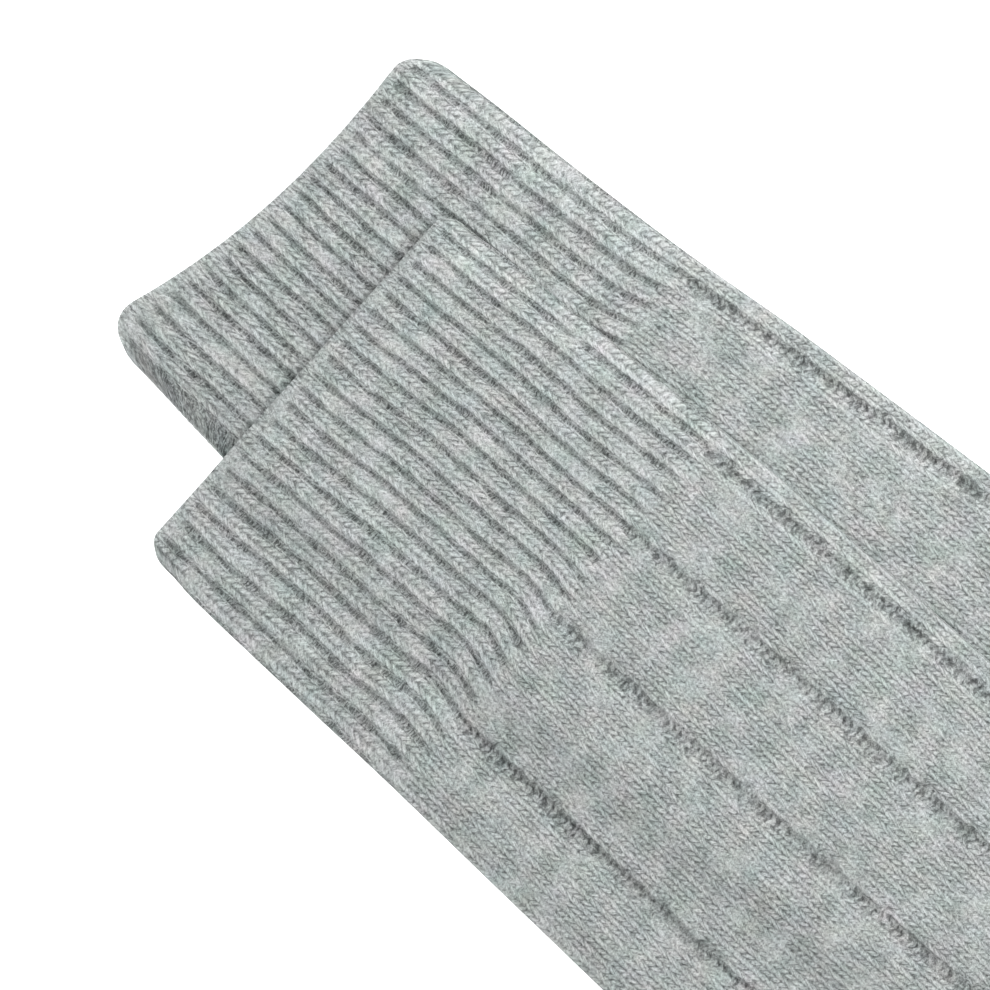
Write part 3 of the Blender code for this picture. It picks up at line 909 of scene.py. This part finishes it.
def buildWoolGroup():
    # marled wool: fibres along each strand, colour drawn out along each course, and painted shade in the
    # gaps, grooves and creases
    tree = bpy.data.node_groups.new("marledWool", "ShaderNodeTree")
    newSocket(tree, "Knit place", "INPUT", "NodeSocketVector")
    for name in sockInputs(upperSock):
        newSocket(tree, name, "INPUT", "NodeSocketFloat", 0.0)
    for name, value in woolLook.items():
        kind = "NodeSocketColor" if isinstance(value, tuple) else "NodeSocketFloat"
        newSocket(tree, name, "INPUT", kind, value)
    newSocket(tree, "Color", "OUTPUT", "NodeSocketColor")
    newSocket(tree, "Height", "OUTPUT", "NodeSocketFloat")
    entry = tree.nodes.new("NodeGroupInput")
    given = {socket.name: socket for socket in entry.outputs}
    look = {name: Sum(tree, given[name]) for name in woolLook}
    split = tree.nodes.new("ShaderNodeSeparateXYZ")
    tree.links.new(given["Knit place"], split.inputs[0])
    wale, course, _ = (Sum(tree, socket) for socket in split.outputs)
    seed = Sum(tree, given["Seed"])
    place = knitSums(tree, wale, course, given)
    mix = woolMix
    x, y = wale * knitShape["waleWidth"], course * (knitCount["course"] / mm)  # mm over the cloth
    side = whole(place["column"]) * mix["columnStep"] + place["rightSide"] * mix["legStep"]
    strand = whole(place["phase"] + 0.5)
    along = place["fromMiddle"] * mix["fibreAlong"] + side
    across = place["phase"] * mix["fibreAcross"]
    fibre = woolMark("fibre", along, across, seed)
    speckle = woolMark("speckle", x, y, seed)
    streak = woolMark("streak", place["column"], strand, seed)
    cloud, cool, warm = (woolMark(name, x, y, seed) for name in ("cloud", "cool", "warm"))
    height = stitchHeight(place)
    laid = threads("laid threads", along, across, seed, mix["laidThinness"])
    loose = threads("loose threads", x, y, seed, mix["looseThinness"])
    knit = 1.0 - place["purl"]
    rightLegs = place["rightSide"] * knit * mixed(place["inLeg"], *mix["rightLegShares"])
    betweenColumns = ramp(place["fromMiddle"], *mix["columnEdges"]) * knit
    faint = bell(wale - knitShape["faintGrooves"], knitShape["faintReach"]) * place["inLeg"]
    shown = 1.0 - faint * look["Faintness"]
    creaseShade = place["seam"] * shown * mixed(height, *mix["seamShares"])
    light = (laid + loose - mix["threadMean"]) * look["Threads"] + 1.0
    # painted shade: the gaps between strands, right legs, column edges, grooves and creases are darkened,
    # and felted patches a little to match
    for shade, where in (
        ("Gap shade", ramp(height, *mix["gapHeights"])),
        ("Right leg shade", rightLegs),
        ("Column shade", betweenColumns),
        ("Groove shade", place["groove"] * shown),
        ("Seam shade", creaseShade),
        ("Felt shade", place["felt"]),
    ):
        light = light * (1.0 - where * look[shade])
    for mark, where in (
        ("Fibre", fibre),
        ("Speckle", speckle),
        ("Marl", streak),
        ("Cloud", cloud),
        ("Cuff lift", 1.0 - place["inLeg"]),
    ):
        light = light * (where * look[mark] + 1.0)
    # the brightest strands are held back
    light = (1.0 - (light * -mix["shoulder"]).step("EXPONENT")) * mix["brightest"]
    ownShare, cloudShare, streakShare = mix["coolShares"]
    tint = (cool * ownShare - cloud * cloudShare - streak * streakShare) * look["Cool"]
    red = 1.0 - tint
    blue = 1.0 - tint * mix["blueShare"] - warm * look["Warm"]
    colour = tree.nodes.new("ShaderNodeVectorMath")
    colour.operation = "MULTIPLY"
    tree.links.new(given["Base"], colour.inputs[0])
    tree.links.new(together(tree, light * red, light, light * blue), colour.inputs[1])
    leave = tree.nodes.new("NodeGroupOutput")
    tree.links.new(colour.outputs[0], leave.inputs["Color"])
    fibreShare, speckleShare = mix["bumpShares"]
    bump = height + fibre * fibreShare + speckle * speckleShare
    tree.links.new(bump.socket, leave.inputs["Height"])
    return tree


woolFinish = {
    "Roughness": 0.92,
    "Specular IOR Level": 0.25,
    "Sheen Weight": 0.18,
    "Sheen Roughness": 0.5,
}
woolBump = {"Strength": 0.6, "Distance": 0.35 * mm}


def makeWool(name, group, sock):
    material = bpy.data.materials.new(name)
    material.use_nodes = True
    tree = material.node_tree
    shader = tree.nodes["Principled BSDF"]
    for label, value in woolFinish.items():
        shader.inputs[label].default_value = value
    knit = tree.nodes.new("ShaderNodeAttribute")
    knit.attribute_name = "knitPlace"
    wool = tree.nodes.new("ShaderNodeGroup")
    wool.node_tree = group
    for label, value in sockInputs(sock).items():
        wool.inputs[label].default_value = value
    for label, value in woolLook.items():
        wool.inputs[label].default_value = value
    tree.links.new(knit.outputs["Vector"], wool.inputs["Knit place"])
    bump = tree.nodes.new("ShaderNodeBump")
    for label, value in woolBump.items():
        bump.inputs[label].default_value = value
    tree.links.new(wool.outputs["Height"], bump.inputs["Height"])
    tree.links.new(bump.outputs["Normal"], shader.inputs["Normal"])
    tree.links.new(wool.outputs["Color"], shader.inputs["Base Color"])
    return material


def flatSize(sock, start, end):
    # width all round, length, and the flat area of the cloth of one stretch
    toeTip = sockForm["sockLength"] - mm
    stations = np.linspace(start, end or toeTip, 60)
    width = sectionAt(sock, stations)[2]
    rise = (stations[-1] - stations[0]) / len(stations)
    turn = np.clip((stations - sockForm["legLength"]) / sockForm["ankleRadius"], 0, sockForm["ankleTurn"])
    bending = (turn > 0) & (turn < sockForm["ankleTurn"])
    reach = np.where(bending, 1 + width / 2 / sockForm["ankleRadius"], 1.0)
    length = float(rise * reach.sum())
    area = float(rise * (2 * width * reach).sum())
    around = float(2 * width.max())
    return around, length, min(area, around * length)


def makeSock(sock, tree, material, carrier):
    start = 0.0
    for stretch, end, perCourse in knitCount["stretches"]:
        piece = makeTube(sock, stretch, start, end, perCourse, carrier)
        applyKnit(piece, tree, material, sock)
        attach(piece, "root")
        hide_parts(sock["solid"])
        around, length, area = flatSize(sock, start, end)
        print(piece.name, "triangles:", sum(len(face.vertices) - 2 for face in piece.data.polygons))
        start = end


# the pair's middle lies at the origin: the upper sock's outline is set onto its solid's box
low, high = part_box(upperSock["solid"])
upperOutline = outlineOf(upperSock)
surfaceShift = np.array([low[0] - upperOutline[:, 0].min(), high[1] - upperSock["place"][1]])
print("pair placed", (surfaceShift / mm).round(2))

knitTree = buildKnitTree()
woolGroup = buildWoolGroup()
makeSock(underSock, knitTree, makeWool("underWool", woolGroup, underSock), None)
print("under sock knitted")
makeSock(upperSock, knitTree, makeWool("upperWool", woolGroup, upperSock), outlineOf(underSock))
print("upper sock knitted")

# Surface, light and camera
studio = {
    "floorSize": 3.0,
    "floorDepth": 0.05 * mm,
    "floorColor": (0.92, 0.92, 0.92, 1),
    "floorRoughness": 0.9,
    "floorGlow": 0.8,
    "white": (1, 1, 1, 1),
    "skyStrength": 0.88,
    "keyPower": 1.05,
    "keyDistance": 0.42,
    "keySize": 0.3,
    "keyFrom": (0.70, 0.06, 0.70),  # towards the light, in the pair's own frame
    "sensor": 36,
    "field": 198 * mm,  # width of what the camera sees
    "nearest": 0.05,
    "distance": 1.0,
    "cameraTurn": math.radians(-48),
    "focusHeight": 6 * mm,
}


def makeFloor():
    half = studio["floorSize"] / 2
    mesh = bpy.data.meshes.new("surface")
    corners = [(-half, -half, 0), (half, -half, 0), (half, half, 0), (-half, half, 0)]
    mesh.from_pydata(corners, [], [(0, 1, 2, 3)])
    floor = bpy.data.objects.new("surface", mesh)
    floor.location.z = -studio["floorDepth"]
    bpy.context.scene.collection.objects.link(floor)
    material = bpy.data.materials.new("paleSurface")
    material.use_nodes = True
    shader = material.node_tree.nodes["Principled BSDF"]
    shader.inputs["Base Color"].default_value = studio["floorColor"]
    shader.inputs["Roughness"].default_value = studio["floorRoughness"]
    shader.inputs["Emission Color"].default_value = studio["white"]
    shader.inputs["Emission Strength"].default_value = studio["floorGlow"]
    mesh.materials.append(material)


def makeLights():
    world = bpy.data.worlds.new("studio")
    bpy.context.scene.world = world
    world.use_nodes = True
    sky = world.node_tree.nodes["Background"]
    sky.inputs["Color"].default_value = studio["white"]
    sky.inputs["Strength"].default_value = studio["skyStrength"]
    key = bpy.data.lights.new("key", "AREA")
    key.shape = "DISK"
    key.size = studio["keySize"]
    key.energy = studio["keyPower"]
    lamp = bpy.data.objects.new("key", key)
    lamp.visible_camera = False
    direction = np.array(studio["keyFrom"])
    direction = direction / np.linalg.norm(direction)
    lamp.location = direction * studio["keyDistance"]
    lamp.rotation_euler = (0, math.acos(direction[2]), math.atan2(direction[1], direction[0]))
    bpy.context.scene.collection.objects.link(lamp)


def makeCamera():
    data = bpy.data.cameras.new("above")
    data.sensor_width = studio["sensor"]
    data.lens = studio["sensor"] * studio["distance"] / studio["field"]
    data.clip_start = studio["nearest"]
    camera = bpy.data.objects.new("above", data)
    camera.location = (surfaceShift[0], surfaceShift[1], studio["distance"] + studio["focusHeight"])
    camera.rotation_euler = (0, 0, studio["cameraTurn"])
    bpy.context.scene.collection.objects.link(camera)
    bpy.context.scene.camera = camera


makeFloor()
makeLights()
makeCamera()
bpy.context.scene.view_settings.view_transform = "Standard"
print("surface, light and camera set")
